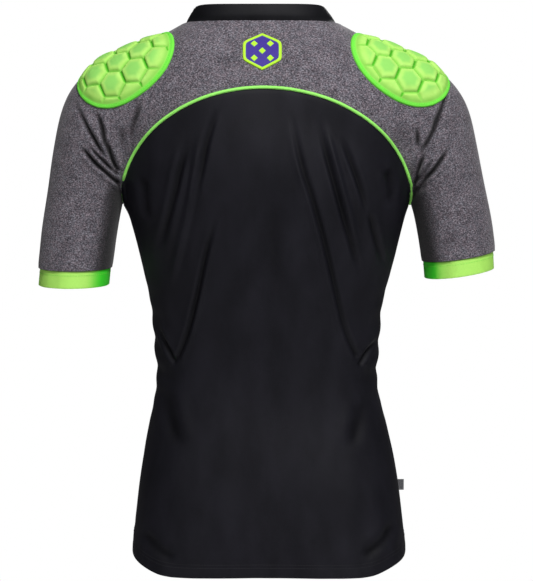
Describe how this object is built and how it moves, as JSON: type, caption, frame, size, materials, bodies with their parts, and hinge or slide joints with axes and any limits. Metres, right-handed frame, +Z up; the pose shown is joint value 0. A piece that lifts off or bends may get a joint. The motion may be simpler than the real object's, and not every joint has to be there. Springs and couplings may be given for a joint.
{
  "type": "body armour vest",
  "caption": "Short-sleeved padded sports armour top in worn form: dark stretch body, heather yoke and sleeves, foam shoulder pads, low stand collar and elastic cuffs.",
  "frame": {"origin": "On the middle line between the shoulders, level with the sides of the collar's seam, where the wearer's shoulders carry the garment", "axes": "+X is the wearer's right, +Y is the wearer's front, +Z is up; the picture looks along +Y at the back"},
  "size_m": [0.5638, 0.2426, 0.6884],
  "materials": {
    "black_jersey": "smooth matt stretch jersey",
    "heather_jersey": "flecked melange jersey",
    "collar_jersey": "matt doubled jersey",
    "lime_foam": "moulded foam with a cloth skin",
    "lime_elastic": "woven elastic",
    "badge_weave": "woven patch",
    "label_tape": "woven tape"
  },
  "bodies": {
    "root": {"back_panel": "black_jersey", "front_panel": "black_jersey", "yoke": "heather_jersey", "sleeve_left": "heather_jersey", "sleeve_right": "heather_jersey", "cuff_left": "lime_elastic", "cuff_right": "lime_elastic", "collar": "collar_jersey", "piping": "lime_elastic", "pad_left": "lime_foam", "pad_right": "lime_foam", "neck_badge": "badge_weave", "side_label": "label_tape"}
  },
  "joints": []
}
